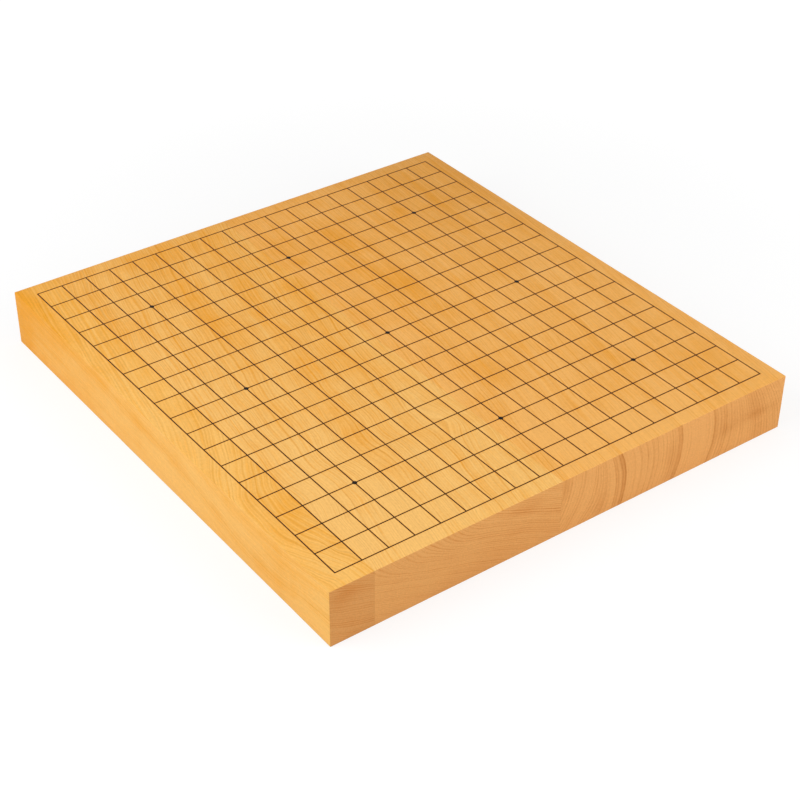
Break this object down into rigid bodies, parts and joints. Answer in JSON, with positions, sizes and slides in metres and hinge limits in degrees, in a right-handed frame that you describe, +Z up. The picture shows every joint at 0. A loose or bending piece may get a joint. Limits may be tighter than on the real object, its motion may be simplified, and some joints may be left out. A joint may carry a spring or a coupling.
{
  "type": "go board",
  "caption": "Table-top go board: a thick wooden slab glued up from staves, with a square-cornered lacquer line grid and star points for placing stones.",
  "frame": {"origin": "centre of the underside, where the board rests on a table", "axes": "+Z up out of the playing surface, +Y along the grain and the board's longer side, +X across the grain; the end grain shows on the -Y and +Y faces"},
  "size_m": [0.4242, 0.4544, 0.0488],
  "materials": {
    "wood": "waxed softwood, satin, honey yellow, with browner end grain",
    "lacquer": "black-brown lacquer standing slightly proud of the wood"
  },
  "bodies": {
    "root": {"stave_1": "wood", "stave_2": "wood", "stave_3": "wood", "line_lengthwise_01": "lacquer", "line_lengthwise_02": "lacquer", "line_lengthwise_03": "lacquer", "line_lengthwise_04": "lacquer", "line_lengthwise_05": "lacquer", "line_lengthwise_06": "lacquer", "line_lengthwise_07": "lacquer", "line_lengthwise_08": "lacquer", "line_lengthwise_09": "lacquer", "line_lengthwise_10": "lacquer", "line_lengthwise_11": "lacquer", "line_lengthwise_12": "lacquer", "line_lengthwise_13": "lacquer", "line_lengthwise_14": "lacquer", "line_lengthwise_15": "lacquer", "line_lengthwise_16": "lacquer", "line_lengthwise_17": "lacquer", "line_lengthwise_18": "lacquer", "line_lengthwise_19": "lacquer", "line_crosswise_01": "lacquer", "line_crosswise_02": "lacquer", "line_crosswise_03": "lacquer", "line_crosswise_04": "lacquer", "line_crosswise_05": "lacquer", "line_crosswise_06": "lacquer", "line_crosswise_07": "lacquer", "line_crosswise_08": "lacquer", "line_crosswise_09": "lacquer", "line_crosswise_10": "lacquer", "line_crosswise_11": "lacquer", "line_crosswise_12": "lacquer", "line_crosswise_13": "lacquer", "line_crosswise_14": "lacquer", "line_crosswise_15": "lacquer", "line_crosswise_16": "lacquer", "line_crosswise_17": "lacquer", "line_crosswise_18": "lacquer", "line_crosswise_19": "lacquer", "star_point_04_04": "lacquer", "star_point_04_10": "lacquer", "star_point_04_16": "lacquer", "star_point_10_04": "lacquer", "star_point_10_10": "lacquer", "star_point_10_16": "lacquer", "star_point_16_04": "lacquer", "star_point_16_10": "lacquer", "star_point_16_16": "lacquer"}
  },
  "joints": []
}
